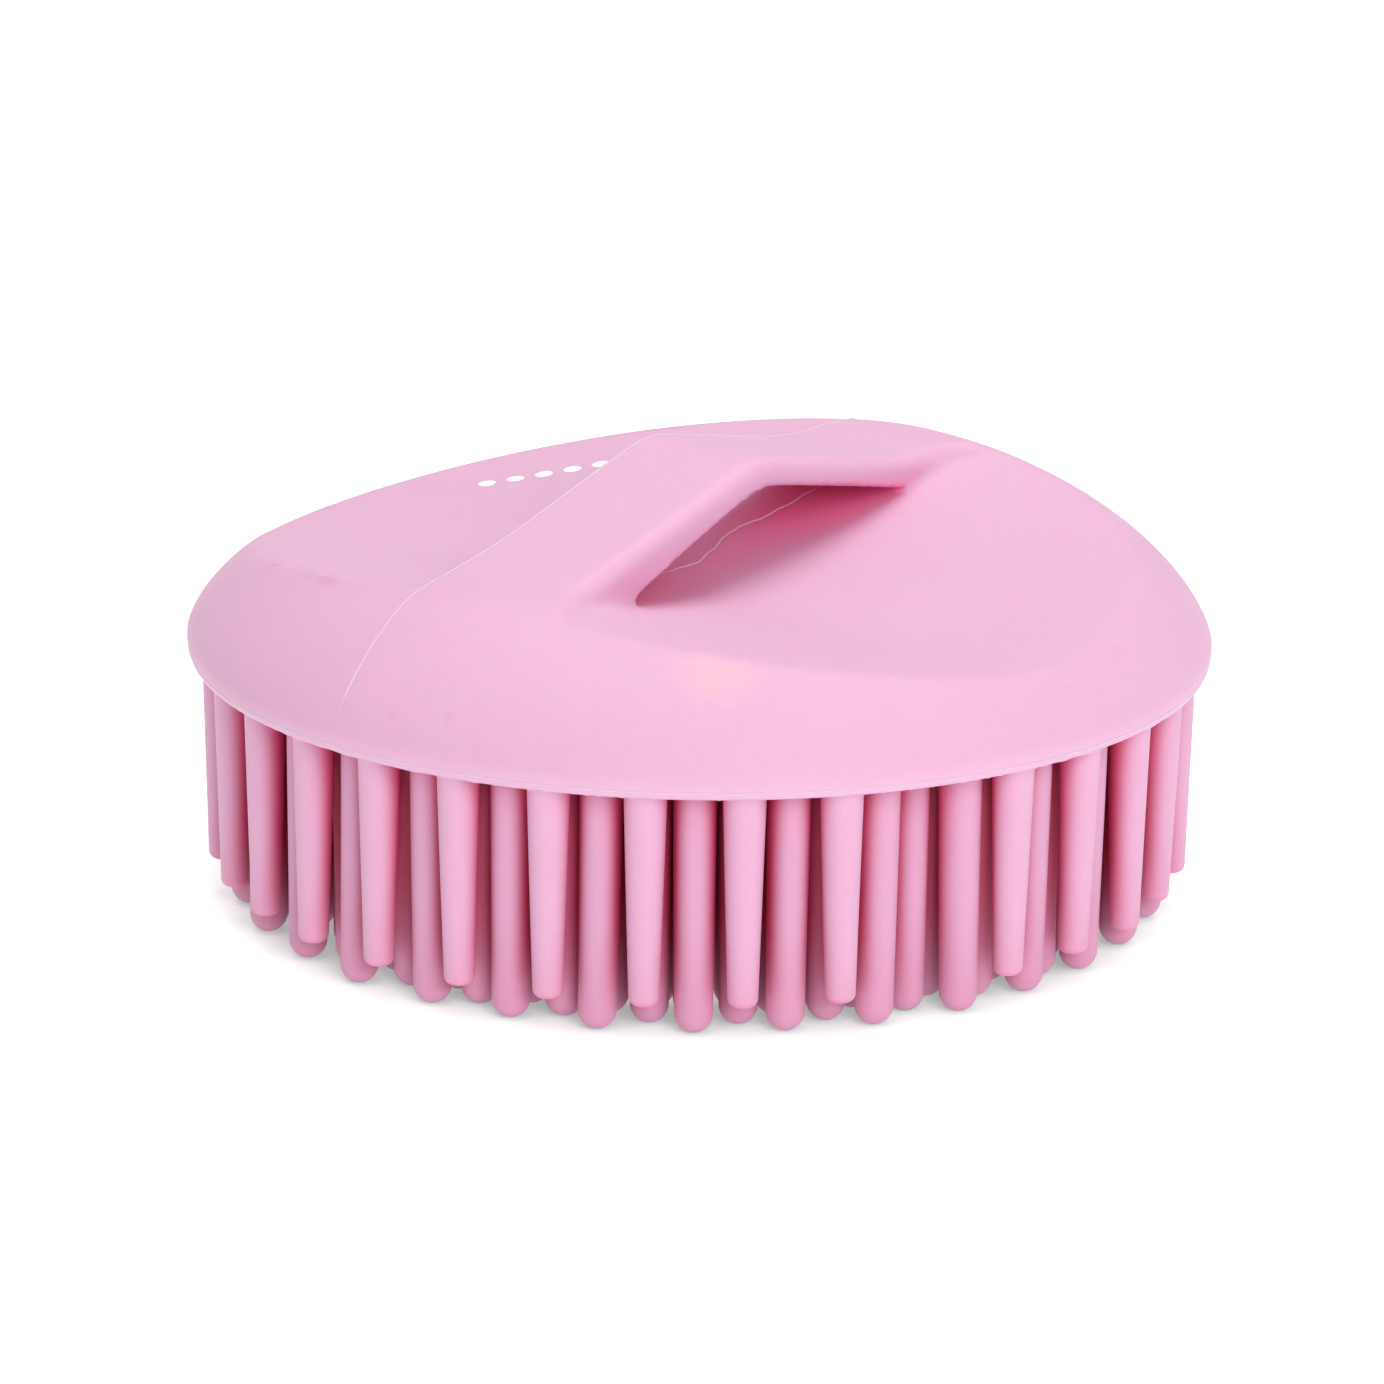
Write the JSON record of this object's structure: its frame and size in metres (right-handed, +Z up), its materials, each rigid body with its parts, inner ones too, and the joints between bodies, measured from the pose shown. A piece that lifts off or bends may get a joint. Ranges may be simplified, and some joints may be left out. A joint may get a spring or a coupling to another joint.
{
  "type": "curry brush",
  "caption": "Round soft silicone palm brush for grooming pets, with a domed cover, an arched strap over a finger gap, and rings of flexible fingers below.",
  "frame": {"origin": "centre of the round plan, on the plane that the finger tips rest on", "axes": "+Z up through the strap; +X through the finger gap towards the side the strap's rounded front edge faces; +Y along the strap towards its higher end"},
  "size_m": [0.1116, 0.1116, 0.0498],
  "materials": {
    "pink_silicone": "matte",
    "white_ink": "matte"
  },
  "bodies": {
    "root": {"palm_cover": "pink_silicone", "hand_strap": "pink_silicone", "printed_mark": "white_ink", "finger_pad": "pink_silicone", "finger_ring_1_short": "pink_silicone", "finger_ring_2": "pink_silicone", "finger_ring_3": "pink_silicone", "finger_ring_4": "pink_silicone", "finger_ring_5": "pink_silicone", "finger_ring_6": "pink_silicone", "finger_ring_7": "pink_silicone", "finger_ring_8": "pink_silicone", "finger_ring_9": "pink_silicone", "finger_ring_10": "pink_silicone", "finger_centre": "pink_silicone"}
  },
  "joints": []
}
